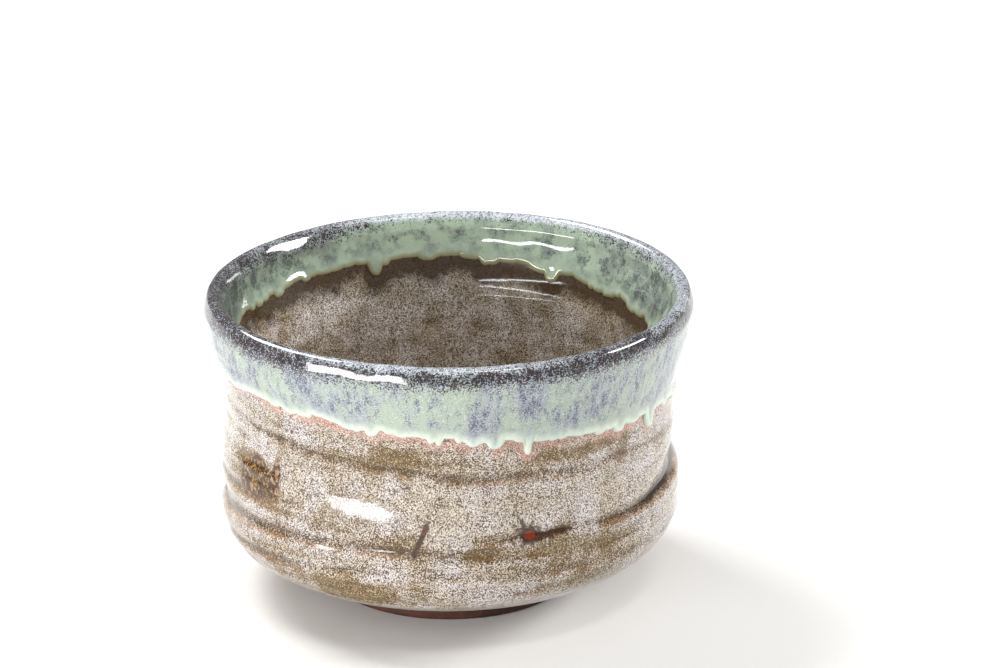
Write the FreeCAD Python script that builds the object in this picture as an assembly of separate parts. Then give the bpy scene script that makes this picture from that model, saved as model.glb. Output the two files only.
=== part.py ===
import FreeCAD, Part
import math
import os

# A wheel-thrown matcha bowl (chawan) with the foot luted on underneath.
# Origin: centre of the ring that the bowl stands on. +Z is up, towards the rim.
# Lengths are in millimetres.

# Overall sizes, over all the glaze
rim_diameter = 120.0
bowl_height = 76.0
wall_thickness = 5.2

# The wall over the base coat. Insets are how much smaller a radius is, drops are from the rim.
belly_diameter = 112.8
belly_height = 20.0
haunch_inset = 4.7
haunch_height = 11.8
waist_inset = 1.6
waist_height = 42.0
flare_inset = 2.0
flare_drop = 12.0

# The base, and the tea pool inside
floor_thickness = 6.6
base_overhang = 7.2
pool_diameter = 26.0
pool_depth = 0.6
inner_heel_inset = 13.2
inner_heel_rise = 4.6

# The foot ring
foot_diameter = 61.6
foot_height = 6.2
foot_wall = 6.0
foot_draft = 0.7
foot_edge = 0.7

# The glaze coats
base_coat = 0.5
rim_coat = 0.5
bare_margin = 2.4
rim_coat_outside_drop = 19.6
rim_coat_inside_drop = 11.6

# Further out than any point of the bowl
far = rim_diameter + bowl_height

# Directions in the half section
RIGHT, UP, DOWN, LEFT = (1, 0), (0, 1), (0, -1), (-1, 0)


def vector(point):
    """A point of the half section, given as (radius, height)."""
    return FreeCAD.Vector(point[0], 0, point[1])


def polygon(points):
    """A face of the half section with straight sides."""
    corners = [vector(point) for point in points]
    return Part.Face(Part.makePolygon(corners + corners[:1]))


def shifted(points, start, end, distance):
    """The points of an outline, each moved square to it, to the right of the way along."""
    ways = [start]
    ways += [
        (after[0] - before[0], after[1] - before[1])
        for before, after in zip(points, points[2:])
    ]
    ways += [end]
    moved = []
    for (radius, height), (along, up) in zip(points, ways):
        step = distance / math.hypot(along, up)
        moved.append((radius + up * step, height - along * step))
    return moved


def smooth(points, start, end):
    """A spline through the points that starts and ends in the two directions."""
    curve = Part.BSplineCurve()
    curve.interpolate(
        Points=[vector(point) for point in points],
        InitialTangent=vector(start),
        FinalTangent=vector(end),
        Scale=False,
    )
    return curve.toShape()


def wall_line(depth):
    """Points up the wall from belly to lip, depth in from the outside of the base coat."""
    belly = belly_diameter / 2
    rim = rim_diameter / 2 - rim_coat
    haunch = (belly - haunch_inset, haunch_height)
    stations = [
        haunch,
        (belly, belly_height),
        (belly - waist_inset, waist_height),
        (rim - flare_inset, bowl_height - flare_drop),
        (rim, bowl_height - wall_thickness / 2),
    ]
    return shifted(stations, UP, UP, -depth)[1:]


def bowl_section(skin):
    """Half section of the bowl over the base coat, its surface moved outwards by skin."""
    floor = foot_height + floor_thickness
    belly = belly_diameter / 2
    base = (foot_diameter / 2 + base_overhang, foot_height - base_coat)
    haunch = (belly - haunch_inset, haunch_height)
    outside = [base, haunch] + wall_line(0)

    lip_radius, lip_height = outside[-1]
    lip_width = wall_thickness - 2 * rim_coat
    inside = [(lip_radius - lip_width, lip_height)] + wall_line(wall_thickness)[-2:0:-1]
    inside += [
        (belly - inner_heel_inset, floor + inner_heel_rise),
        (pool_diameter / 2, floor),
        (0, floor - pool_depth),
    ]
    outside = shifted(outside, RIGHT, UP, skin)
    inside = shifted(inside, DOWN, LEFT, skin)
    lip_top = (lip_radius - lip_width / 2, bowl_height - rim_coat + skin)
    under = (0, outside[0][1])

    edges = [
        Part.makeLine(vector(under), vector(outside[0])),
        smooth(outside, RIGHT, UP),
        Part.Arc(vector(outside[-1]), vector(lip_top), vector(inside[0])).toShape(),
        smooth(inside, DOWN, LEFT),
        Part.makeLine(vector(inside[-1]), vector(under)),
    ]
    return Part.Face(Part.Wire(edges))


def outer_side():
    """What lies outside a curve along the middle of the floor and up that of the wall."""
    floor_middle = foot_height + floor_thickness / 2
    base = (foot_diameter / 2 + base_overhang, floor_middle)
    middle = [(0, floor_middle), base] + wall_line(wall_thickness / 2)
    around = [middle[-1], (middle[-1][0], far), (far, far), (far, -far), (0, -far), middle[0]]
    edges = Part.makePolygon([vector(point) for point in around]).Edges
    return Part.Face(Part.Wire([smooth(middle, RIGHT, UP)] + edges))


def block(radius, low, high):
    """The part of the half section inside a radius and between two heights."""
    return polygon([(0, low), (radius, low), (radius, high), (0, high)])


def foot_section():
    """Half section of the foot ring, its two standing edges broken."""
    outer = foot_diameter / 2
    inner = outer - foot_wall
    return polygon(
        [
            (inner + foot_edge, 0),
            (outer - foot_edge, 0),
            (outer, foot_edge),
            (outer - foot_draft, foot_height),
            (inner - foot_draft, foot_height),
            (inner, foot_edge),
        ]
    )


def sections():
    """The half section of every piece, by node name."""
    clay = bowl_section(-base_coat)
    once_glazed = bowl_section(0)
    twice_glazed = bowl_section(rim_coat)
    outside = outer_side()

    base_glaze = once_glazed.cut(clay)
    bare_base = block(foot_diameter / 2 + bare_margin, -far, haunch_height)
    below_outer_edge = block(far, -far, bowl_height - rim_coat_outside_drop)
    below_inner_edge = block(far, -far, bowl_height - rim_coat_inside_drop)
    rim_glaze = twice_glazed.cut(once_glazed)
    rim_glaze = rim_glaze.cut(below_outer_edge.common(outside))
    rim_glaze = rim_glaze.cut(below_inner_edge.cut(outside))

    return {
        "clay_body": clay,
        "foot_ring": foot_section(),
        "outer_glaze": base_glaze.common(outside).cut(bare_base),
        "inner_glaze": base_glaze.cut(outside),
        "rim_glaze": rim_glaze,
    }


def turned(section, node):
    """The solid that a half section makes when it is turned about the bowl's axis."""
    if len(section.Faces) != 1:
        raise ValueError(f"{node}: its half section is in {len(section.Faces)} pieces")
    return section.Faces[0].revolve(FreeCAD.Vector(), FreeCAD.Vector(0, 0, 1), 360)


os.makedirs("parts", exist_ok=True)
for node, section in sections().items():
    solid = turned(section, node)
    solid.exportStep(f"parts/{node}.step")
    print(f"{node}: {len(solid.Solids)} solid, {solid.Volume:.0f} mm3")
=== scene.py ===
import math

import bpy
import numpy as np
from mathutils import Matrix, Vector


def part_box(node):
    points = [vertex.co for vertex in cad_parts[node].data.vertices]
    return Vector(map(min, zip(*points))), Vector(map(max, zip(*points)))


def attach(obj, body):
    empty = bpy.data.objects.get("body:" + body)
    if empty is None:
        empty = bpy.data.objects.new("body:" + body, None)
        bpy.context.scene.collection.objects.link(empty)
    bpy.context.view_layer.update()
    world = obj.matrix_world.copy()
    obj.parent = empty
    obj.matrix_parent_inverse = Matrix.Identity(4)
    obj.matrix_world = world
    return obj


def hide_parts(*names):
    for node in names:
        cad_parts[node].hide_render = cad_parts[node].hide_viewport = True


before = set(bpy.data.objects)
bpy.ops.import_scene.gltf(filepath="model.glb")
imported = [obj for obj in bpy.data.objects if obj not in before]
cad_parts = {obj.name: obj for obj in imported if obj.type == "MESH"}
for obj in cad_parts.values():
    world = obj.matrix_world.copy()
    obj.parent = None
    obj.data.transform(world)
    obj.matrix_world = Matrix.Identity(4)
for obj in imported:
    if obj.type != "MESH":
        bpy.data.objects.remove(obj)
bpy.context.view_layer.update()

# A thrown and glazed matcha bowl. Shapes are worked out in millimetres about the bowl's own
# axis, +Z up, with angles in degrees from +X, and are turned into metres as a mesh is made.
# The side with the rust star faces -Y, which is -90 degrees.

MM = 0.001

RIM_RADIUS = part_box("rim_glaze")[1].x / MM
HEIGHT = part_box("rim_glaze")[1].z / MM
FOOT_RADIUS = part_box("foot_ring")[1].x / MM
FOOT_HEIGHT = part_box("foot_ring")[1].z / MM

BASE_COAT = 0.5
RIM_COAT = 0.55
LIP_WIDTH = 5.2
BARE_MARGIN = 2.3
FOOT_WALL = 6.0

# Inside: the top of the floor, and where it turns up into the wall
FLOOR_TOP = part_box("inner_glaze")[0].z / MM + BASE_COAT
HEEL_RADIUS = 41
HEEL_HEIGHT = FLOOR_TOP + 3.6

# How many columns each turned mesh has round the axis
GLAZE_COLUMNS = 720
RIM_COLUMNS = 1020
CLAY_COLUMNS = 360
FOOT_COLUMNS = 512

# How far from a point its glaze's edge is looked for, to each side
EDGE_SEARCH = 5

# Height of the glazes' bumps in metres
GLAZE_SWELL = 0.00005

# The lip under the celadon: a round edge with a soft facet outside and a wider one inside,
# each given by how far up it looks from straight out, and its length
LIP_FACETS = [(math.radians(16), 2.3), (math.radians(155), 2.4)]
LIP_SOFTNESS = math.radians(5)
LIP_ACROSS = LIP_WIDTH - 2 * RIM_COAT
LIP_ROUND = (LIP_ACROSS - sum(length * math.sin(tilt) for tilt, length in LIP_FACETS)) / 2
LIP_CENTRE = HEIGHT - RIM_COAT - LIP_ROUND - LIP_FACETS[0][1] * math.cos(LIP_FACETS[0][0])
LIP_INSIDE = LIP_CENTRE + sum(length * math.cos(tilt) for tilt, length in LIP_FACETS)

# The wall from the foot up: inset from the rim's radius, height, and how far it is shifted to +X
WALL = [
    (27.0, 5.75, 0.0),
    (22.0, 6.3, -0.1),
    (16.4, 8.3, -0.5),
    (11.4, 10.6, -0.7),
    (7.5, 13.3, -0.7),
    (4.5, 17.2, -0.3),
    (3.5, 21.0, 0.15),
    (3.6, 26.0, 0.2),
    (3.9, 31.0, -0.2),
    (4.3, 36.5, -0.6),
    (4.8, 42.0, -0.25),
    (5.0, 48.0, 0.05),
    (4.7, 54.0, -0.2),
    (3.0, 60.0, -0.2),
    (1.3, 66.0, -0.3),
    (0.2, LIP_CENTRE, -0.1),
]

# The haunch, where the underside turns up into the wall, and the stations that shape the underside
UNDERSIDE = WALL[:6]
HAUNCH_RADIUS = RIM_RADIUS - WALL[4][0]
HAUNCH_HEIGHT = WALL[4][1]
HAUNCH_SHIFT = WALL[4][2]

# How thick the wall is, by height
THICKNESS = [
    (12.0, 11.0), (20.0, 9.4), (28.0, 7.2), (36.0, 5.6), (46.0, 5.0), (54.0, 5.0), (60.0, 4.8),
    (66.0, 4.5), (74.0, 4.1),
]

# Throwing lines. Each has a ridge just under its height and a groove just above:
# height by angle, depth by angle, half width by angle
LINES = {
    "neck": {
        "height": [
            (-180, 50.8), (-125, 48.7), (-90, 46.5), (-60, 45.6), (-36, 44.8), (0, 43.8), (90, 46.0),
        ],
        "depth": [
            (-180, 0.06), (-145, 0.1), (-122, 0.24), (-90, 0.26), (-60, 0.3), (-38, 0.3), (0, 0.15),
            (90, 0.25),
        ],
        "width": [(-180, 1.4), (-90, 1.35), (90, 1.5)],
    },
    "waist": {
        "height": [
            (-180, 33.0), (-90, 31.2), (-60, 31.0), (-35, 30.4), (-15, 32.0), (0, 33.2), (90, 35.0),
        ],
        "depth": [
            (-180, 0.0), (-100, 0.05), (-75, 0.2), (-50, 0.35), (-25, 1.1), (0, 1.8), (45, 1.4),
            (120, 0.4),
        ],
        "width": [(-180, 1.6), (-75, 1.2), (-36, 1.6), (0, 3.4), (90, 3.0)],
    },
    "belly": {
        "height": [(-180, 23.0), (-150, 25.6), (-125, 27.4), (-95, 27.4), (0, 25.0), (90, 22.4)],
        "depth": [
            (-180, 1.1), (-150, 0.55), (-122, 0.28), (-98, 0.25), (-84, 0.08), (0, 0.05), (120, 0.5),
        ],
        "width": [(-180, 2.8), (-150, 1.9), (-110, 1.5), (0, 1.5), (120, 2.0)],
    },
    "haunch": {
        "height": [(-180, 15.6), (-140, 19.2), (-115, 21.2), (-60, 21.0), (0, 18.6), (90, 19.4)],
        "depth": [(-180, 0.3), (-150, 0.3), (-110, 0.2), (-60, 0.14), (0, 0.08), (90, 0.22)],
        "width": [(-180, 1.4), (0, 1.4), (90, 1.6)],
    },
    "shelf": {
        "height": [(-180, 31.0), (-140, 33.0), (-105, 34.6), (-60, 34.0), (60, 32.6)],
        "depth": [(-180, 0.3), (-140, 0.2), (-126, 0.0), (-100, 0.0), (0, 0.0), (120, 0.2)],
        "width": [(-180, 1.8), (0, 1.8)],
    },
    "base": {
        "height": [(-180, 11.8), (-140, 14.8), (-100, 16.6), (-40, 16.0), (60, 14.0)],
        "depth": [(-180, 0.25), (-120, 0.16), (-80, 0.1), (0, 0.05), (120, 0.2)],
        "width": [(-180, 1.2), (0, 1.2)],
    },
}

# The celadon's lower edge outside: height by angle, then drips as angle, length, half width
OUTER_EDGE = [
    (-180, 58.6), (-150, 60.2), (-130, 59.6), (-105, 58.2), (-85, 57.2), (-66, 55.2),
    (-46, 53.7), (-20, 52.3), (0, 51.2), (30, 53.0), (90, 56.0), (140, 57.0),
]
OUTER_DRIPS = [
    (-165, 1.2, 2.4), (-137, 1.2, 1.6), (-126.5, 1.4, 1.4), (-113, 0.8, 1.3), (-109, 1.8, 2.0),
    (-100, 0.7, 1.2), (-94.6, 2.0, 1.1), (-92.6, 2.4, 1.2), (-84.5, 2.2, 1.9), (-79, 2.8, 2.4),
    (-70.8, 3.9, 1.3), (-64, 0.5, 1.4), (-57, 0.6, 2.2), (-43, 2.4, 2.4), (-29.5, 4.4, 2.3),
    (-8, 2.2, 2.4), (12, 3.4, 1.8), (28, 1.6, 2.6), (47, 3.0, 1.6), (66, 1.4, 2.8),
    (84, 3.8, 1.5), (101, 1.6, 2.4), (122, 2.6, 1.8), (143, 1.4, 2.6), (161, 2.8, 1.7),
]
INNER_EDGE = [
    (-180, 63.0), (-140, 63.6), (-90, 62.0), (-40, 60.4), (0, 60.4), (40, 61.5), (90, 64.8),
    (120, 64.6), (150, 63.6),
]
INNER_DRIPS = [
    (158, 1.4, 1.8), (144, 1.6, 2.6), (133, 1.2, 2.0), (111, 3.4, 2.3), (96, 1.2, 2.8),
    (80, 1.8, 1.6), (60, 2.2, 2.4), (38, 1.4, 1.8), (14, 2.4, 1.5), (-12, 1.2, 2.6),
    (-40, 2.0, 1.6), (-66, 1.6, 2.6), (-95, 2.8, 1.5), (-122, 1.4, 2.4), (-150, 2.2, 1.7),
]

# Shallow places where a thumb pressed the wet wall: angle, height, half width, half height, depth
THUMB_HOLLOWS = [
    (-119.5, 41.5, 10.0, 7.0, 1.4), (-106, 41.5, 9.0, 7.0, 1.4), (70, 40.0, 14.0, 7.0, 0.8),
]

# Marks in the base coat: angle, height, half width and half height in millimetres, strength,
# and for a mark that leans, its tilt in degrees
POOLED = [
    (-108, 50.5, 20.0, 3.6, 0.4), (-62, 50.5, 15.0, 3.6, 0.4), (-118, 16.5, 15.0, 4.0, 0.55),
    (-156, 30.0, 12.0, 14.0, 0.28), (-116, 20.0, 22.0, 7.0, 0.25), (-56, 24.0, 12.0, 9.0, 0.3),
    (-147, 38.0, 7.0, 5.0, 0.75), (-104, 51.0, 7.0, 3.4, 0.5), (-117, 49.0, 5.0, 3.0, 0.3),
    (-64, 50.0, 4.5, 4.5, 0.45), (-50, 50.5, 6.0, 2.8, 0.65), (-41, 46.5, 2.6, 3.0, 0.55),
    (-66, 27.5, 10.0, 3.6, 0.65), (-45, 26.0, 8.0, 5.0, 0.55), (-80, 30.0, 4.0, 2.0, 0.35),
    (-98, 31.0, 3.0, 4.0, 0.35), (-128, 33.0, 13.0, 3.2, 0.45), (-108, 30.0, 8.0, 2.6, 0.5),
    (-84, 28.0, 5.0, 1.4, 0.55), (-60, 18.0, 8.0, 4.0, 0.5), (-112, 15.5, 12.0, 2.4, 0.5),
    (-150, 20.0, 14.0, 3.0, 0.35), (-14, 47.5, 5.0, 4.0, 0.5), (-10, 31.0, 4.0, 4.0, 0.45),
    (20, 42.0, 12.0, 6.0, 0.4), (60, 30.0, 14.0, 7.0, 0.5), (95, 46.0, 9.0, 5.0, 0.45),
    (130, 28.0, 12.0, 5.0, 0.5), (160, 44.0, 8.0, 6.0, 0.35), (110, 16.0, 16.0, 4.0, 0.4),
]
PALE = [
    (-83, 37.0, 18.0, 6.5, 0.5), (-52, 38.0, 10.0, 5.0, 0.35), (-90, 21.5, 16.0, 2.2, 0.5),
    (-118, 22.5, 14.0, 1.8, 0.45), (-60, 22.0, 8.0, 2.5, 0.3), (-24, 40.0, 8.0, 6.0, 0.5),
    (-33, 40.0, 4.0, 9.0, 0.7),
    (-160, 28.0, 9.0, 4.0, 0.4), (-28, 22.0, 9.0, 6.0, 0.4), (-135, 44.0, 7.0, 3.0, 0.3),
    (40, 34.0, 16.0, 6.0, 0.45), (90, 36.0, 14.0, 5.0, 0.4), (140, 36.0, 12.0, 5.0, 0.4),
]
RUST = [
    (-70.2, 31.6, 1.7, 1.4, 1.7, 0), (-65.6, 31.3, 4.2, 0.9, 0.95, 5),
    (-71.9, 34.2, 0.6, 2.6, 0.65, 24),
    (-74.2, 31.2, 3.0, 0.8, 0.5, 12), (-69.6, 34.2, 0.5, 1.6, 0.4, -14),
    (-72.2, 29.4, 0.7, 1.4, 0.4, -40), (-67.2, 29.8, 0.6, 1.4, 0.35, 50),
    (-74.4, 34.2, 0.45, 2.2, 0.5, 52), (-60.0, 31.8, 3.6, 0.6, 0.45, 6),
    (-96.4, 33.6, 0.55, 2.4, 1.25, -16), (-97.9, 29.9, 0.55, 2.2, 0.8, -18),
    (-99.4, 27.4, 1.2, 0.6, 0.5, 0), (-100.6, 44.2, 0.9, 0.45, 0.7, 0),
    (-149.5, 35.0, 0.8, 1.1, 0.8, 0), (-133.0, 51.5, 0.4, 2.6, 0.5, 0),
    (-118.3, 42.0, 0.35, 0.7, 0.6, 0), (-127.0, 42.0, 0.35, 0.7, 0.5, 0),
    (-145.0, 30.0, 0.5, 0.6, 0.6, 0),
    (52.0, 33.0, 2.0, 1.2, 0.9, 10), (55.0, 36.0, 0.5, 2.4, 0.5, 20), (118.0, 40.0, 1.2, 1.8, 0.8, -20),
]
NET = [(-147.5, 38.0, 6.4, 5.2, 2.6), (-138.5, 40.4, 1.6, 4.8, 1.6), (75, 26.0, 5.0, 3.6, 1.1)]

# Where the celadon is darker, given like the marks: at the lip its own darker mottling, down the inside
# painted shade as well
LIP_AND_INNER_DARKENING = [
    (178, 69, 32.0, 9.0, 1.0), (-144, 69, 28.0, 9.0, 0.9), (-50, 71, 26.0, 8.0, 0.8),
    (128, 72, 22.0, 4.0, 0.6), (20, 68, 40.0, 9.0, 0.7),
]

# The camera, in metres and degrees; it aims above and to the right of the bowl
CAMERA_DISTANCE = 1.10
CAMERA_ELEVATION = 21.4
CAMERA_LENS = 160.0
AIM_RIGHT = 0.0125
AIM_UP = 0.0237

# Soft boxes: azimuth and elevation from the bowl, distance, width, height, power
SOFT_BOXES = [
    ("front_left_soft_box", -132, 8.5, 0.90, 0.80, 0.18, 7.4),
    ("right_soft_box", 7, 25, 0.90, 0.36, 0.20, 5.8),
    ("top_soft_box", -57, 60, 0.90, 0.36, 0.16, 1.3),
    ("back_left_soft_box", 140, 50, 1.00, 0.50, 0.50, 9.8),
]


def through(stations, place):
    """Cubic curve through (place, value) stations; each slope is taken from the neighbours."""
    knots, values = np.array(stations, float).T
    slopes = np.gradient(values, knots)
    first = np.clip(np.searchsorted(knots, place) - 1, 0, len(knots) - 2)
    step = knots[first + 1] - knots[first]
    part = np.clip((place - knots[first]) / step, 0, 1)
    rest = 1 - part
    start = (1 + 2 * part) * rest**2 * values[first] + part * rest**2 * step * slopes[first]
    end = (3 - 2 * part) * part**2 * values[first + 1]
    return start + end - part**2 * rest * step * slopes[first + 1]


def around(stations, angle):
    """The same curve, closed on itself after 360 degrees."""
    turns = [(place + turn, value) for turn in (-360, 0, 360) for place, value in stations]
    return through(turns, angle)


def ease(low, high, value):
    """0 below low, 1 above high, and a smooth S between them."""
    part = np.clip((value - low) / (high - low), 0, 1)
    return part * part * (3 - 2 * part)


def turned_by(angle, centre):
    """The signed angle from a centre, in degrees, from -180 to 180."""
    return (angle - centre + 180) % 360 - 180


def unevenness(angle, height, seed, lobes, pitch, count=14):
    """Sum of sine waves, each with a whole number of lobes about the axis and a pitch upwards."""
    rng = np.random.default_rng(seed)
    total = np.zeros(np.broadcast(angle, height).shape)
    for _ in range(count):
        turns = max(1, round(lobes * rng.uniform(0.45, 1.7)))
        rise = rng.normal(0, 1) / pitch
        wave = np.radians(angle * turns) + 2 * np.pi * (height * rise + rng.uniform())
        total += np.sin(wave)
    return total / math.sqrt(count / 2)


def line_fields(angle, height):
    """Relief of the throwing lines in mm, signed distance to the nearest line, and its depth.

    Each line is a groove shaped like a bell curve, with a lower, narrower ridge under it; the
    two meet at the line's own height.
    """
    relief = np.zeros(height.shape)
    nearest = np.full(height.shape, 99.0)
    deepest = np.zeros(height.shape)
    for seed, line in enumerate(LINES.values()):
        wander = 0.22 * unevenness(angle, 0 * height, 40 + seed, 9, 1)
        depth = np.maximum(around(line["depth"], angle), 0)
        width = around(line["width"], angle)
        above = height - around(line["height"], angle) - wander
        step = above / width
        ridge = np.exp(-(((step + 0.8) / 0.9) ** 2))
        groove = np.exp(-(((step - 0.9) / 1.05) ** 2))
        relief += depth * (0.3 * ridge - groove)
        closer = (np.abs(step) < np.abs(nearest)) & (depth > 0.04)
        nearest = np.where(closer, step, nearest)
        deepest = np.where(closer, depth, deepest)
    return relief, nearest, deepest


def lip_wave(angle):
    """How much the lip stands above or below its mean height."""
    first = 0.35 * np.cos(np.radians(angle + 15))
    return first + 0.25 * np.cos(np.radians(2 * (angle - 50))) - 0.15


def lifted(angle, height):
    """Heights carried up and down with the lip, from none below the neck to all of it above."""
    return height + lip_wave(angle) * ease(45, 73, height)


def lip_curve(*looks):
    """Across and up from the lip's outer root to where its face looks up by so many degrees.

    The face turns from straight out, 0, to straight in, 180, and each small turn moves it by
    the radius there: the lip's own, plus a bell curve about each facet's tilt.
    """
    turn = np.radians(np.linspace(0, 180, 1441))
    facets = [length * np.exp(-(((turn - tilt) / LIP_SOFTNESS) ** 2)) for tilt, length in LIP_FACETS]
    step = (LIP_ROUND + sum(facets) / (LIP_SOFTNESS * math.sqrt(math.pi))) * turn[1]
    across, up = np.cumsum(-step * np.sin(turn)), np.cumsum(step * np.cos(turn))
    return tuple(np.interp(np.radians(looks), turn, way)[:, None] for way in (across, up))


def hand_marks(angle, height):
    """Soft throwing rings in mm, stronger on the left-hand side, and the sway of the hand."""
    slope = height + angle / 100
    side = 0.6 + 0.4 * np.cos(np.radians(angle + 150))
    calm = 1 - 0.95 * np.exp(-((turned_by(angle, -112) / 18) ** 4) - ((height - 36) / 8) ** 4)
    rings = 0.10 * np.sin(2 * np.pi * slope / 4.6) + 0.04 * np.sin(2 * np.pi * slope / 2.7 + 1)
    return (rings * side + 0.08 * unevenness(angle, height, 8, 7, 7)) * calm


def turned_wall(angle, height):
    """Radius of the wall's profile at a height, shifted to +X, and sunk where celadon covers it."""
    radius = through([(h, RIM_RADIUS - inset) for inset, h, _ in WALL], height)
    shift = through([(h, shift) for _, h, shift in WALL], height) * np.cos(np.radians(angle))
    return radius + shift - RIM_COAT * ease(50, 62, height)


def wall_outside(angle, height):
    """Radius of the base coat outside at a height: the profile with its relief and its sway."""
    sway = 0.16 * unevenness(angle, height, 7, 4, 30)
    relief = line_fields(angle, height)[0] + hand_marks(angle, height)
    relief = relief - spots(angle, height, THUMB_HOLLOWS)
    marks = ease(FOOT_HEIGHT + 1, FOOT_HEIGHT + 8, height)
    marks = marks * (1 - ease(LIP_CENTRE - 6, LIP_CENTRE, height))
    return turned_wall(angle, height) + relief * marks + sway


def wall_inside(angle, height):
    """Radius of the base coat inside at a height: its own softer rings, drawn to the lip above."""
    rings = 0.10 * np.sin(2 * np.pi * (height + angle / 90) / 5.2)
    hand = 0.12 * unevenness(angle, height, 11, 4, 30)
    fade = ease(14, 24, height) * (1 - ease(58, 68, height))
    own = turned_wall(angle, height) - through(THICKNESS, height) + (rings + hand) * fade
    lip = wall_outside(angle, LIP_CENTRE + 0 * angle) - LIP_ACROSS
    return own + (lip - own) * ease(LIP_INSIDE - 7, LIP_INSIDE, height)


def runs(seed, narrow, wide, long):
    """Small glaze runs side by side all the way round: centre, length and half width of each."""
    rng = np.random.default_rng(seed)
    made, at = [], -180.0
    while at < 180:
        half = rng.uniform(narrow, wide)
        turn = math.degrees(half / RIM_RADIUS)
        made.append((at + turn, long * rng.uniform(0.15, 1.0) ** 1.4, half * 1.12))
        at += 2 * turn
    return made


def edge_height(angle, stations, drips, seed):
    """Height of a glaze's lower edge: a slow curve less the longest run hanging at each angle.

    Every run hangs as a rounded arch, so runs meet in short upward points.
    """
    centre, length, half = np.array(drips + runs(seed, 0.9, 3.0, 1.5)).T[:, :, None]
    away = np.abs(turned_by(angle, centre)) * math.pi / 180 * RIM_RADIUS / half
    hang = length * np.clip(1 - away**2.8, 0, 1) ** 0.58
    fall = hang.max(0, keepdims=True) - 0.5
    return around(stations, angle) + 0.3 * unevenness(angle, 0 * angle, seed, 14, 1) - fall


def from_edge(height, edge, above):
    """Distance in mm from each point to the nearest place on the far side of a wavy edge.

    That place is looked for over the columns a few millimetres to each side.
    """
    pitch = 2 * math.pi * RIM_RADIUS / edge.shape[1]
    nearest = np.full(height.shape, 99.0)
    reach = round(EDGE_SEARCH / pitch)
    for shift in range(-reach, reach + 1):
        there = np.roll(edge, shift, axis=1)
        over = height - there if above else there - height
        nearest = np.minimum(nearest, np.hypot(shift * pitch, np.maximum(over, 0)))
    return nearest


def spots(angle, height, marks):
    """Sum of soft marks, each a bell curve in both directions, tilted where the mark says so."""
    total = np.zeros(np.broadcast(angle, height).shape)
    for centre, middle, wide, tall, strength, *tilt in marks:
        lean = math.radians(tilt[0]) if tilt else 0.0
        right = turned_by(angle, centre) * math.pi / 180 * (RIM_RADIUS - 4)
        up = height - middle
        across = (right * math.cos(lean) + up * math.sin(lean)) / wide
        along = (up * math.cos(lean) - right * math.sin(lean)) / tall
        total += strength * np.exp(-(across**2) - along**2)
    return total


def around_columns(count):
    """Angles of a grid's columns, as one row, starting behind the left-hand side."""
    return (np.arange(count) * 360 / count - 180)[None, :]


def some_rows(count, stride):
    """Every so many rows of a section, backwards, with its last row always among them."""
    return np.unique(np.concatenate([np.arange(0, count, stride), [count - 1]]))[::-1]


def pushed_out(radius, height, distance):
    """A section's points moved square to its rows, to the right of the way along them."""
    along_radius = np.gradient(radius, axis=0)
    along_height = np.gradient(height, axis=0)
    size = np.hypot(along_radius, along_height)
    return radius + distance * along_height / size, height - distance * along_radius / size


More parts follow.
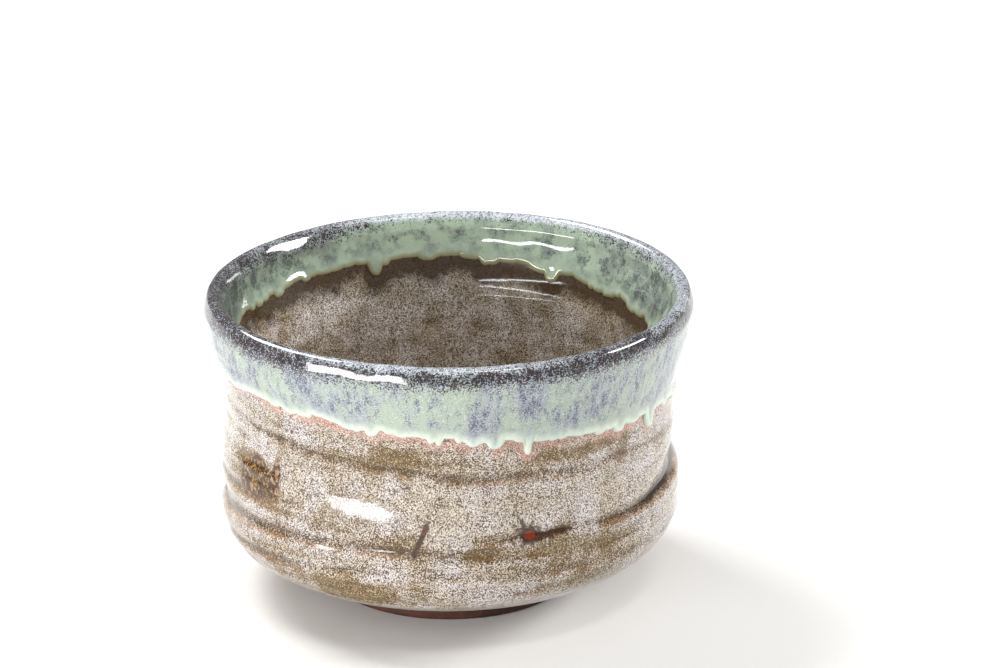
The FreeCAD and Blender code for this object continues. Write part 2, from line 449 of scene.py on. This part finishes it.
def grid_mesh(name, radius, height, closed, shares, fields=None):
    """A turned mesh: rows run along a section, columns go about the axis.

    Point = (radius cos angle, radius sin angle, height). A closed section joins its last row to
    its first; an open one starts and ends on the axis, where a single point closes each end.
    The faces look outwards whichever way round the section runs, told by the sign of its area.
    shares says how much of the bake map each row takes. The bake map is two strips, one for
    each half turn. fields are values by point, kept as attributes.
    """
    rows, columns = radius.shape
    angle = np.radians(around_columns(columns)) + 0 * radius
    points = np.stack([radius * np.cos(angle), radius * np.sin(angle), height], -1).reshape(-1, 3)
    first = np.arange(rows if closed else rows - 1)[:, None]
    left = np.arange(columns)[None, :]
    below, above = first * columns, (first + 1) % rows * columns
    right = (left + 1) % columns
    faces = np.stack([below + left, below + right, above + right, above + left], -1).reshape(-1, 4)
    across, up = radius.mean(1), height.mean(1)
    outward = (across * np.roll(up, -1) - np.roll(across, -1) * up).sum() > 0

    reach = np.cumsum(np.concatenate([[0], shares]))
    reach = reach / reach[-1]
    half = columns // 2
    strip = left // half
    across = np.stack([left - strip * half, left + 1 - strip * half], -1) / half
    low, high = (strip + 0.01 + 0.98 * reach[first + end] for end in (0, 1))
    low, high = low / 2 + 0 * left, high / 2 + 0 * left
    start, end = across[..., 0] + 0 * first, across[..., 1] + 0 * first
    corners = np.stack([start, low, end, low, end, high, start, high], -1).reshape(-1, 4, 2)
    if not outward:
        faces, corners = faces[:, ::-1], corners[:, ::-1]
    corners = corners.reshape(-1, 2)

    loops, sizes = faces.reshape(-1), np.full(len(faces), 4)
    if not closed:
        poles = [[0, 0, height[0].mean()], [0, 0, height[-1].mean()]]
        points = np.concatenate([points, poles])
        base, here, there = rows * columns, left[0], right[0]
        top = (rows - 1) * columns
        fans = np.concatenate([
            np.stack([there, here, 0 * here + base], -1),
            np.stack([top + here, top + there, 0 * here + base + 1], -1),
        ])
        if not outward:
            fans = fans[:, ::-1]
        loops = np.concatenate([loops, fans.reshape(-1)])
        sizes = np.concatenate([sizes, np.full(len(fans), 3)])
        corners = np.concatenate([corners, np.zeros((fans.size, 2))])

    mesh = bpy.data.meshes.new(name)
    mesh.vertices.add(len(points))
    mesh.vertices.foreach_set("co", (points * MM).astype(np.float32).reshape(-1))
    mesh.loops.add(len(loops))
    mesh.loops.foreach_set("vertex_index", loops.astype(np.int32))
    mesh.polygons.add(len(sizes))
    starts = np.concatenate([[0], np.cumsum(sizes)[:-1]])
    mesh.polygons.foreach_set("loop_start", starts.astype(np.int32))
    mesh.polygons.foreach_set("loop_total", sizes.astype(np.int32))
    mesh.update(calc_edges=True)
    mesh.validate()
    layer = mesh.uv_layers.new(name="OFBake")
    layer.data.foreach_set("uv", corners.astype(np.float32).reshape(-1))
    for field, values in (fields or {}).items():
        values = np.broadcast_to(values, radius.shape).reshape(-1)
        values = np.concatenate([values, np.zeros(len(points) - len(values))])
        stored = mesh.attributes.new(field, "FLOAT", "POINT")
        stored.data.foreach_set("value", values.astype(np.float32))
    mesh.polygons.foreach_set("use_smooth", np.ones(len(sizes), bool))
    piece = bpy.data.objects.new(name, mesh)
    bpy.context.scene.collection.objects.link(piece)
    return piece


class Signal:
    """A shader socket that Python's operators add Math nodes to."""

    def __init__(self, finish, socket):
        self.finish, self.socket = finish, socket

    def worked_out(self, operation, first, second):
        return self.finish.node("Math", {"operation": operation}, Value=first, Value_001=second)

    def __add__(self, other):
        return self.worked_out("ADD", self, other)

    def __sub__(self, other):
        return self.worked_out("SUBTRACT", self, other)

    def __rsub__(self, other):
        return self.worked_out("SUBTRACT", other, self)

    def __mul__(self, other):
        return self.worked_out("MULTIPLY", self, other)

    def __abs__(self):
        return self.worked_out("ABSOLUTE", self, 0.0)

    __radd__ = __add__
    __rmul__ = __mul__


class Finish:
    """A material whose nodes are added one call at a time."""

    def __init__(self, name):
        self.material = bpy.data.materials.new(name)
        self.material.use_nodes = True
        self.tree = self.material.node_tree
        self.tree.nodes.clear()

    def node(self, kind, settings=None, result=None, **sockets):
        """A node of one kind: its settings first, then its sockets' values or links."""
        made = self.tree.nodes.new("ShaderNode" + kind)
        for setting, value in (settings or {}).items():
            setattr(made, setting, value)
        for key, value in sockets.items():
            socket = next(s for s in made.inputs if s.identifier == key.replace("__", " "))
            if isinstance(value, Signal):
                self.tree.links.new(value.socket, socket)
            else:
                socket.default_value = value
        outputs = {s.identifier: s for s in made.outputs if s.enabled}
        return Signal(self, outputs[result] if result else next(iter(outputs.values())))

    def noise(self, place, scale, detail, roughness):
        return self.node(
            "TexNoise", {"noise_dimensions": "3D"}, "Fac",
            Vector=place, Scale=scale, Detail=detail, Roughness=roughness,
        )

    def attribute(self, name):
        return self.node("Attribute", {"attribute_name": name}, "Fac")

    def step(self, value, low, high):
        """0 where the value is under low, 1 over high, smooth between; low may be the larger."""
        return self.node(
            "MapRange", {"interpolation_type": "SMOOTHSTEP", "clamp": True}, "Result",
            Value=value, From__Min=low, From__Max=high,
        )

    def blend(self, share, first, second):
        """One colour into another by a share from 0 to 1."""
        return self.node(
            "Mix", {"data_type": "RGBA", "clamp_factor": True}, "Result_Color",
            Factor_Float=share, A_Color=first, B_Color=second,
        )

    def place(self, stretch=(1, 1, 1)):
        """Object coordinates, stretched along the axes."""
        own = self.node("TexCoord", None, "Object")
        return self.node("VectorMath", {"operation": "MULTIPLY"}, Vector=own, Vector_001=stretch)

    def close(self, colour, roughness, relief, depth, **constants):
        """The surface: colour, roughness and a bump of a relief in metres."""
        bump = self.node("Bump", None, "Normal", Height=relief, Strength=1.0, Distance=depth)
        sockets = {"Base__Color": colour, "Roughness": roughness, "Normal": bump}
        sockets.update(constants)
        surface = self.node("BsdfPrincipled", None, "BSDF", **sockets)
        self.show(surface)
        return self.material

    def show(self, surface):
        output = self.tree.nodes.new("ShaderNodeOutputMaterial")
        self.tree.links.new(surface.socket, output.inputs["Surface"])


def tone(red, green, blue):
    """A colour given as 0 to 255 on a screen, in the shader's linear numbers."""
    values = [part / 255 for part in (red, green, blue)]
    linear = [v / 12.92 if v < 0.04045 else ((v + 0.055) / 1.055) ** 2.4 for v in values]
    return (*linear, 1.0)


def speckled_glaze(name, inside):
    """Fine pale flecks floating over a brown ground, pooled brown in every hollow, with painted light
    making the inside copy lighter.
    """
    f = Finish(name)
    place = f.place()
    fleck = f.noise(place, 3100, 2, 0.7)
    dot = f.node("TexVoronoi", {"feature": "F1"}, "Distance", Vector=place, Scale=2500.0)
    clump = f.noise(place, 850, 2, 0.6)
    cloud = f.noise(place, 120, 3, 0.6)
    curtain = f.noise(f.place((1, 1, 0.3)), 230, 3, 0.6)
    shelf = f.noise(f.place((0.3, 0.3, 1)), 330, 3, 0.6)
    pooled, pale = f.attribute("pooled"), f.attribute("pale")
    under, rings = f.attribute("under_rim"), f.attribute("rings")
    line, depth = f.attribute("line"), f.attribute("line_depth")
    ragged = (clump - 0.5) * 1.8 + (curtain - 0.5) * 1.6
    strong = f.step(depth + (shelf - 0.5) * 0.8, -0.05, 0.4)
    groove = f.step(abs(line - 0.6 + ragged * 0.8), 1.2, 0.1) * strong
    ridge = f.step(abs(line + 0.35 + ragged * 0.35), 0.5, 0.05)
    ridge = ridge * f.step(depth + (shelf - 0.5) * 1.2 + (curtain - 0.5) * 0.8, 0.08, 0.45)

    uneven = cloud * 0.9 + curtain * 0.7 + shelf * 0.6 - rings * 0.16
    warm = f.step(pooled * 0.8 - pale * 0.4 + uneven, 1.06, 1.9)
    thin = warm * 0.055 + groove * 0.05 + ridge * 0.02 - pale * 0.02 + (uneven - 1.1) * 0.05
    share = f.step(fleck * 0.82 + clump * 0.18 - thin, 0.458, 0.532)

    # Painted light: on the inside copy every ground and fleck colour is made lighter by this amount, to
    # make up for the dimmer light inside the bowl.
    painted_inside_light = 32 if inside else 0
    ground = f.blend(
        f.step(curtain, 0.4, 0.6),
        tone(90 + painted_inside_light, 76 + painted_inside_light, 60 + painted_inside_light), tone(82 + painted_inside_light, 64 + painted_inside_light, 40 + painted_inside_light),
    )
    ground = f.blend(warm, ground, tone(92, 68, 30))
    ground = f.blend(groove * 0.66, ground, tone(66, 42, 12))
    ground = f.blend(ridge * 0.7, ground, tone(140, 100, 62))
    thick = f.blend(
        f.step(cloud, 0.36, 0.64),
        tone(220 + painted_inside_light, 212 + painted_inside_light, 210 + painted_inside_light), tone(214 + painted_inside_light, 202 + painted_inside_light, 185 + painted_inside_light),
    )
    thick = f.blend(warm * 0.85, thick, tone(188, 168, 126))
    thick = f.blend(groove * 0.4, thick, tone(172, 148, 110))
    thick = f.blend(ridge * 0.5, thick, tone(198, 168, 136))
    colour = f.blend(share, ground, thick)
    pepper = f.step(dot + fleck * 0.5 - uneven * 0.12, 0.44, 0.32)
    colour = f.blend(pepper * 0.88, colour, tone(52, 38, 22))
    pool = f.step(abs(line - 0.45 + ragged * 0.4), 0.9, 0.3) * f.step(depth, 0.4, 1.0)
    colour = f.blend(pool * 0.92, colour, tone(44, 29, 9))

    patch = f.step(cloud + curtain * 0.7, 0.68, 1.0)
    if inside:
        band = f.step(under + ragged * 2.4 + (cloud - 0.5) * 9.0, 7.5, 2.5)
        colour = f.blend(patch * 0.3, colour, tone(104, 82, 52))
        colour = f.blend(band * 0.95, colour, f.blend(fleck, tone(26, 15, 5), tone(90, 66, 36)))
    else:
        halo = f.step(under + ragged, 2.8, 0.4) * (0.15 + patch * 0.85)
        blush = f.blend(f.step(fleck, 0.42, 0.58), tone(168, 118, 104), tone(210, 170, 160))
        colour = f.blend(halo * 0.75, colour, blush)

    wander = f.node("TexNoise", None, "Color", Vector=place, Scale=520.0, Detail=2.0)
    crooked = f.node(
        "VectorMath", {"operation": "MULTIPLY_ADD"},
        Vector=wander, Vector_001=(0.0034, 0.0034, 0.0034), Vector_002=place,
    )
    cells = f.node(
        "TexVoronoi", {"feature": "DISTANCE_TO_EDGE"}, "Distance", Vector=crooked, Scale=560.0,
    )
    net = f.step(f.attribute("net") + (cloud - 0.5) * 1.6 + (clump - 0.5) * 1.3, 0.3, 1.0)
    threads = f.step(cells + (fleck - 0.5) * 0.35 + (clump - 0.5) * 0.9, 0.27, 0.09) * net
    colour = f.blend(net * 0.7, colour, tone(150, 108, 50))
    colour = f.blend(threads * 0.95, colour, tone(52, 30, 8))
    mark = f.attribute("rust")
    ring = f.step(mark + (clump - 0.5) * 2.4 + (fleck - 0.5) * 1.6, 0.25, 0.6)
    rust = f.step(mark + (clump - 0.5) * 1.8 + (fleck - 0.5) * 1.2, 0.95, 1.35)
    colour = f.blend(ring * 0.92, colour, tone(46, 26, 7))
    colour = f.blend(rust * 0.9, colour, tone(116, 44, 20))

    swell = f.noise(place, 260, 2, 0.5)
    roughness = f.node("MapRange", None, "Result", Value=clump, To__Min=0.05, To__Max=0.15)
    return f.close(colour, roughness, swell, GLAZE_SWELL, IOR=1.55)


def celadon_glaze(name):
    """Pale blue-green over the rim, flecked by its run, paler at its edge, burnt at the lip, with a
    painted highlight on parts of its crest.
    """
    f = Finish(name)
    place = f.place()
    run = f.noise(f.place((1, 1, 0.3)), 600, 3, 0.65)
    broad = f.noise(f.place((1, 1, 0.55)), 130, 4, 0.6)
    speck = f.noise(place, 2900, 2, 0.65)
    clump = f.noise(place, 1100, 3, 0.65)
    cloud = f.noise(place, 260, 3, 0.6)
    edge, lip = f.attribute("from_edge"), f.attribute("from_lip")
    inner, darkening = f.attribute("inside"), f.attribute("darkening")
    ragged = (clump - 0.5) * 2.0

    away = f.step(edge + ragged, 1.2, 4.8)
    colour = f.blend(f.step(broad, 0.38, 0.62), tone(162, 175, 158), tone(158, 166, 168))
    haze = f.step(run * 0.6 + broad * 0.4, 0.44, 0.60) * away
    colour = f.blend(haze * 0.52, colour, tone(144, 150, 166))
    dots = f.step(speck * 0.6 + run * 0.3 + broad * 0.25, 0.555, 0.655) * away
    colour = f.blend(dots * (0.5 + haze * 0.4), colour, tone(72, 75, 92))
    pearls = f.step(f.noise(place, 2500, 1, 0.5), 0.58, 0.68) * away
    colour = f.blend(pearls * 0.5, colour, tone(206, 216, 214))
    colour = f.blend(f.step(edge + ragged * 0.7, 3.0, 0.5) * 0.9, colour, tone(209, 220, 204))
    deep = f.blend(f.step(cloud, 0.42, 0.64), tone(172, 192, 165), tone(142, 159, 142))
    # Inside, where the darker marks lie, the celadon is darkened by painted shade; the dark mottling
    # below is partly its own and partly painted shade.
    painted_inner_shade = f.step(darkening + (broad - 0.5) * 1.6, 0.1, 0.9)
    deep = f.blend(painted_inner_shade * 0.85, deep, tone(112, 122, 110))
    colour = f.blend(inner * 0.8, colour, deep)
    shade = speck * 0.4 + clump * 0.4 + cloud * 0.7 + darkening * 0.22 - 0.04
    shade = f.step(shade, 0.78, 0.94) * inner
    colour = f.blend(shade * 0.7 * away, colour, tone(62, 68, 70))
    thin = f.step(edge + ragged * 0.6, 1.7, 0.3) * inner
    colour = f.blend(thin * 0.85, colour, tone(146, 140, 96))

    # At the lip the darker marks widen the band of dark blotches, the glaze's own colour, and keep the
    # crest's painted highlight away.
    dark_share = f.step(darkening, 0.1, 0.8)
    char = abs(lip - 1.7 + dark_share * 1.1) - dark_share * 1.4
    reach = f.step(char + (cloud - 0.5) * 4.5 + (run - 0.5) * 4.5, 5.4, 0.9)
    # Along the crest, away from the darker marks, the celadon is paler: partly its own light frost, and
    # partly a painted highlight, nearly white.
    crest = f.step(abs(lip) + (cloud - 0.5) * 2.0, 2.2, 1.0) * (1 - dark_share)
    frost = f.blend(f.step(clump, 0.42, 0.58), tone(146, 154, 168), tone(200, 208, 212))
    colour = f.blend(f.step(reach, 0.25, 0.9) * 0.6, colour, frost)
    frost_and_painted_highlight = f.blend(f.step(clump, 0.38, 0.5), frost, tone(216, 221, 228))
    colour = f.blend(crest * 0.8, colour, frost_and_painted_highlight)
    grains = speck * 0.52 + clump * 0.32 + cloud * 0.16
    burnt = f.step(grains + reach * 0.13 - crest * 0.07, 0.55, 0.61) * f.step(reach, 0.02, 0.25)
    embers = f.step(f.noise(place, 1300, 2, 0.6), 0.49, 0.56)
    scorched = f.blend(embers * 0.75, tone(28, 25, 32), tone(68, 28, 22))
    colour = f.blend(burnt * 0.95, colour, scorched)

    swell = f.noise(place, 300, 2, 0.5)
    roughness = f.node("MapRange", None, "Result", Value=clump, To__Min=0.03, To__Max=0.1)
    return f.close(colour, roughness, swell, GLAZE_SWELL, IOR=1.62)


def bare_clay(name):
    """Iron-rich stoneware, toasted red-brown, with grog and the marks of the trimming tool."""
    f = Finish(name)
    place = f.place()
    grain = f.noise(place, 2600, 3, 0.65)
    grog = f.noise(place, 900, 2, 0.6)
    toast = f.noise(place, 90, 3, 0.55)
    turning = f.noise(f.place((0.06, 0.06, 1)), 1500, 2, 0.6)
    colour = f.blend(f.step(toast, 0.35, 0.65), tone(80, 42, 24), tone(52, 31, 22))
    colour = f.blend(f.step(grain, 0.55, 0.7) * 0.5, colour, tone(58, 36, 26))
    colour = f.blend(f.step(grog, 0.62, 0.72) * 0.5, colour, tone(140, 92, 62))
    roughness = f.node("MapRange", None, "Result", Value=grain, To__Min=0.55, To__Max=0.85)
    relief = grain * 0.35 + grog * 0.25 + turning * 0.4
    return f.close(colour, roughness, relief, 0.00035, IOR=1.45)


def base_fields(angle, height):
    """What the speckled glaze needs at each point: lines, pooled and pale places, iron marks."""
    _, nearest, deepest = line_fields(angle, height)
    return {
        "line": np.clip(nearest, -9, 9),
        "line_depth": deepest,
        "pooled": spots(angle, height, POOLED),
        "pale": spots(angle, height, PALE),
        "rust": spots(angle, height, RUST),
        "net": spots(angle, height, NET),
        "rings": hand_marks(angle, height) * 4,
    }


def make_outer_glaze():
    """Base coat outside: from its edge above the foot, under the celadon, up to the lip's crest."""
    angle = around_columns(GLAZE_COLUMNS)
    part = np.linspace(0, 1, 20)[:, None]
    start = FOOT_RADIUS + BARE_MARGIN + 0.25 * unevenness(angle, 0 * angle, 21, 14, 1)
    under_radius = start + (HAUNCH_RADIUS - start) * part
    under_height = through([(RIM_RADIUS - inset, h) for inset, h, _ in UNDERSIDE], under_radius)
    shift = through([(RIM_RADIUS - inset, shift) for inset, _, shift in UNDERSIDE], under_radius)
    under_radius = under_radius + shift * part * np.cos(np.radians(angle))
    heights = np.concatenate([np.linspace(HAUNCH_HEIGHT, 60, 92)[1:], [63, 66, 69, LIP_CENTRE]])
    heights = heights[:, None]
    wall_height = lifted(angle, heights)
    wall_radius = wall_outside(angle, heights + 0 * angle)
    across, up = lip_curve(16, 36, 62, 88)
    radius = np.concatenate([under_radius, wall_radius, wall_radius[-1] + across])
    height = np.concatenate([under_height + 0 * angle, wall_height, wall_height[-1] + up])

    back_radius, back_height = pushed_out(radius, height, -BASE_COAT)
    bead = 1 - 0.75 * np.exp(-np.arange(len(radius)) / 1.6)[:, None]
    out_radius, out_height = pushed_out(radius, height, BASE_COAT * (bead - 1))
    fields = base_fields(angle, height)
    edge = edge_height(angle, OUTER_EDGE, OUTER_DRIPS, 5)
    fields["under_rim"] = from_edge(height, edge, False)
    hidden = some_rows(len(radius), 9)
    radius = np.concatenate([out_radius, back_radius[hidden]])
    height = np.concatenate([out_height, back_height[hidden]])
    fields = {key: np.concatenate([v, v[hidden]]) for key, v in fields.items()}
    shares = np.concatenate([np.ones(len(out_radius) - 8), np.full(8 + len(hidden), 0.1)])
    return grid_mesh("outer_base_coat", radius, height, True, shares, fields)


def floor_profile():
    """The bowl's inside from the middle of the tea pool to the foot of the wall."""
    return [
        (0.0, FLOOR_TOP - 0.6), (6.0, FLOOR_TOP - 0.5), (13.0, FLOOR_TOP), (22.0, FLOOR_TOP + 0.15),
        (30.0, FLOOR_TOP + 0.6), (36.0, FLOOR_TOP + 1.6), (HEEL_RADIUS, HEEL_HEIGHT),
    ]


def inside_section(angle):
    """Radius and height rows of the base coat inside, from the centre out and up to the crest."""
    flat = np.linspace(0.6, HEEL_RADIUS, 40)[:, None] + 0 * angle
    flat_height = through(floor_profile(), flat)
    flat_height = flat_height + 0.12 * np.sin(flat / 2.1 + np.radians(angle)) * ease(10, 20, flat)
    heights = np.linspace(HEEL_HEIGHT, 66, 58)[1:, None]
    foot = ease(HEEL_HEIGHT, FLOOR_TOP + 16, heights)
    out = wall_inside(angle, heights + 0 * angle) - HEEL_RADIUS
    bend = HEEL_RADIUS + out * np.sqrt(1 - (1 - foot) ** 2)
    upper = np.linspace(67, LIP_INSIDE, 6)[:, None]
    across, up = lip_curve(168, 160, 155, 150, 140, 120, 92)
    lip = wall_outside(angle, LIP_CENTRE + 0 * angle) + across
    radius = np.concatenate([flat, bend, wall_inside(angle, upper + 0 * angle), lip])
    height = np.concatenate([
        flat_height,
        lifted(angle, heights),
        lifted(angle, upper),
        LIP_CENTRE + lip_wave(angle) + up,
    ])
    return radius, height


def make_inner_glaze():
    """Base coat inside: a skin over the floor and wall, closed at its top edge by its own back."""
    angle = around_columns(GLAZE_COLUMNS)
    radius, height = inside_section(angle)
    back_radius, back_height = pushed_out(radius, height, BASE_COAT)
    hidden = some_rows(len(radius), 7)
    fields = base_fields(angle, height)
    fields["line"] = np.full(height.shape, 9.0)
    fields["pooled"] = 0.4 * spots(angle + 70, height, POOLED)
    fields["pale"] = 0.4 * spots(angle + 150, height, PALE)
    fields["rust"] = 0.7 * spots(angle + 200, height + 4, RUST)
    fields["net"] = 0 * height
    fields["under_rim"] = from_edge(height, edge_height(angle, INNER_EDGE, INNER_DRIPS, 15), False)
    fields = {key: np.concatenate([v, v[hidden]]) for key, v in fields.items()}
    shares = np.concatenate([np.ones(len(radius)), np.full(len(hidden), 0.1)])[1:]
    radius = np.concatenate([radius, back_radius[hidden]])
    height = np.concatenate([height, back_height[hidden]])
    return grid_mesh("inner_base_coat", radius, height, False, shares, fields)


def make_rim_glaze():
    """Celadon coat: up the outside from its dripping edge, over the lip, and down the inside.

    It stands on the base coat by its own thickness, which swells to a bead near each edge.
    """
    angle = around_columns(RIM_COLUMNS)
    low_out = edge_height(angle, OUTER_EDGE, OUTER_DRIPS, 5)
    low_in = edge_height(angle, INNER_EDGE, INNER_DRIPS, 15)
    climb = np.concatenate([[0, 0.004, 0.012, 0.025, 0.045], np.linspace(0.07, 1, 20)])[:, None]
    up = low_out + (LIP_CENTRE - low_out) * climb
    down = low_in + (LIP_INSIDE - low_in) * climb[::-1]
    facing_out = [3, 6, 9, 12, 14, 16, 18, 20, 23, 27]
    facing_in = [142, 147, 151, 155, 159, 163, 168, 174]
    across, over = lip_curve(*facing_out, *range(34, 135, 10), *facing_in)
    outside = wall_outside(angle, up)
    radius = np.concatenate([outside, outside[-1] + across, wall_inside(angle, down)])
    height = np.concatenate([
        lifted(angle, up),
        LIP_CENTRE + lip_wave(angle) + over,
        lifted(angle, down),
    ])
    step = np.hypot(np.diff(radius, axis=0), np.diff(height, axis=0))
    travelled = np.concatenate([0 * angle, np.cumsum(step, axis=0)])
    crest = len(up) + int(over.argmax())
    from_lip = travelled[crest] - travelled
    far = np.full((len(over), angle.shape[1]), 9.0)
    edge = np.concatenate([from_edge(up, low_out, True), far, from_edge(down, low_in, True)])
    inner = ease(-0.5, 2.5, -from_lip)
    bead = (0.32 - 0.24 * inner) * np.exp(-(((edge - 1.0) / 0.75) ** 2)) * ease(0, 0.6, edge)
    coat = RIM_COAT * np.sqrt(1 - (1 - np.clip(edge, 0, 1)) ** 2) + bead
    coat = coat * (1 + 0.06 * unevenness(angle, height, 31, 22, 12)) + 0.01
    out_radius, out_height = pushed_out(radius, height, coat)
    hidden = some_rows(len(radius), 6)
    darkening = spots(angle, height, LIP_AND_INNER_DARKENING)
    fields = {"from_edge": edge, "from_lip": from_lip, "inside": inner, "darkening": darkening}
    fields = {key: np.concatenate([v, v[hidden]]) for key, v in fields.items()}
    shares = np.concatenate([np.ones(len(radius)), np.full(len(hidden), 0.15)])
    sunk_radius, sunk_height = pushed_out(radius, height, 0 * radius - 0.03)
    radius = np.concatenate([out_radius, sunk_radius[hidden]])
    height = np.concatenate([out_height, sunk_height[hidden]])
    return grid_mesh("celadon_rim_coat", radius, height, True, shares, fields)


def make_clay_body():
    """The thrown clay: the glaze surfaces drawn in by one coat, closed across base and floor."""
    angle = around_columns(CLAY_COLUMNS)
    in_radius, in_height = inside_section(angle)
    in_radius, in_height = pushed_out(in_radius, in_height, BASE_COAT)
    heights = np.linspace(HAUNCH_HEIGHT, LIP_CENTRE, 50)[1:, None]
    out_radius = wall_outside(angle, heights + 0 * angle) - BASE_COAT
    out_height = lifted(angle, heights)
    base = np.concatenate([np.linspace(1, 30, 12), np.linspace(31, HAUNCH_RADIUS, 20)])[:, None]
    stations = [(RIM_RADIUS - inset, h) for inset, h, _ in UNDERSIDE]
    base_height = through(stations, base + 0 * angle)
    base_height = np.maximum(base_height, WALL[0][1]) + BASE_COAT
    base_radius = base - 0.35 * ease(36, 52, base) + 0 * angle
    base_radius = base_radius + HAUNCH_SHIFT * ease(34, 52, base) * np.cos(np.radians(angle))
    radius = np.concatenate([in_radius[:-7:2], in_radius[-7:], out_radius[::-1], base_radius[::-1]])
    height = np.concatenate([in_height[:-7:2], in_height[-7:], out_height[::-1], base_height[::-1]])
    return grid_mesh("thrown_clay", radius, height, False, np.ones(len(radius) - 1))


def make_foot_ring():
    """The foot: a turned ring with soft edges, a slight sway, and fine trimming grooves."""
    angle = around_columns(FOOT_COLUMNS)
    outer, inner = FOOT_RADIUS, FOOT_RADIUS - FOOT_WALL
    section = [
        (inner + 0.7, 0.0), (inner + 2.0, 0.0), (outer - 2.0, 0.0), (outer - 0.9, 0.06),
        (outer - 0.25, 0.45), (outer, 1.1), (outer - 0.2, 2.6), (outer - 0.5, 4.4),
        (outer - 0.5, FOOT_HEIGHT), (inner - 0.7, FOOT_HEIGHT), (inner - 0.5, 4.0),
        (inner, 1.0), (inner + 0.2, 0.35),
    ]
    radius, height = np.array(section).T
    length = np.concatenate([[0], np.cumsum(np.hypot(np.diff(radius), np.diff(height)))])
    rows = np.linspace(0, length[-1], 64)
    radius = np.interp(rows, length, radius)[:, None]
    height = np.interp(rows, length, height)[:, None] + 0 * angle
    side = ease(0.2, 1.0, height) * (1 - ease(FOOT_HEIGHT - 0.5, FOOT_HEIGHT, height))
    trimming = 0.07 * np.sin(2 * np.pi * (height + angle / 400) / 1.15) * side
    hand = 0.14 * unevenness(angle, height, 51, 4, 20) * side
    return grid_mesh("turned_foot", radius + trimming + hand, height, True, np.ones(64))


def settle(piece, node, material):
    """Gives a piece its finish and its body, and hides the CAD node that it stands for."""
    piece.data.materials.append(material)
    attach(piece, "root")
    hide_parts(node)


def studio():
    """White floor and surround, the soft boxes, and the camera."""
    scene = bpy.context.scene
    scene.view_settings.view_transform = "Standard"
    world = bpy.data.worlds.new("white_surround")
    world.use_nodes = True
    world.node_tree.nodes["Background"].inputs["Color"].default_value = (1, 1, 1, 1)
    world.node_tree.nodes["Background"].inputs["Strength"].default_value = 0.27
    scene.world = world

    half = 20.0
    ground = bpy.data.meshes.new("white_table")
    corners = [(-half, -half, 0), (half, -half, 0), (half, half, 0), (-half, half, 0)]
    ground.from_pydata(corners, [], [(0, 1, 2, 3)])
    table = bpy.data.objects.new("white_table", ground)
    scene.collection.objects.link(table)
    finish = Finish("white_table_top")
    white = finish.node(
        "BsdfPrincipled", None, "BSDF", Base__Color=tone(244, 243, 241), Roughness=0.9,
        Emission__Color=(1, 1, 0.99, 1), Emission__Strength=0.02, Specular__IOR__Level=0.1,
    )
    finish.show(white)
    ground.materials.append(finish.material)

    middle = Vector((0, 0, HEIGHT / 2 * MM))
    for name, azimuth, elevation, distance, wide, tall, power in SOFT_BOXES:
        light = bpy.data.lights.new(name, "AREA")
        light.shape = "RECTANGLE"
        light.size, light.size_y = wide, tall
        light.energy = power
        lamp = bpy.data.objects.new(name, light)
        turn, tilt = math.radians(azimuth), math.radians(elevation)
        flat = math.cos(tilt)
        way = Vector((flat * math.cos(turn), flat * math.sin(turn), math.sin(tilt)))
        lamp.location = middle + way * distance
        lamp.rotation_euler = (-way).to_track_quat("-Z", "Y").to_euler()
        scene.collection.objects.link(lamp)

    lens = bpy.data.cameras.new("camera")
    lens.sensor_width = 36.0
    lens.lens = CAMERA_LENS
    camera = bpy.data.objects.new("camera", lens)
    tilt = math.radians(CAMERA_ELEVATION)
    way = Vector((0, -math.cos(tilt), math.sin(tilt)))
    up = Vector((0, math.sin(tilt), math.cos(tilt)))
    camera.location = middle + way * CAMERA_DISTANCE
    aim = middle + Vector((AIM_RIGHT, 0, 0)) + up * AIM_UP
    camera.rotation_euler = (aim - camera.location).to_track_quat("-Z", "Y").to_euler()
    scene.collection.objects.link(camera)
    scene.camera = camera


speckled_outside = speckled_glaze("speckled_base_glaze", False)
speckled_inside = speckled_glaze("speckled_inner_glaze", True)
celadon = celadon_glaze("celadon_rim_glaze")
clay = bare_clay("bare_stoneware")

settle(make_clay_body(), "clay_body", clay)
settle(make_foot_ring(), "foot_ring", clay)
settle(make_outer_glaze(), "outer_glaze", speckled_outside)
settle(make_inner_glaze(), "inner_glaze", speckled_inside)
settle(make_rim_glaze(), "rim_glaze", celadon)
studio()
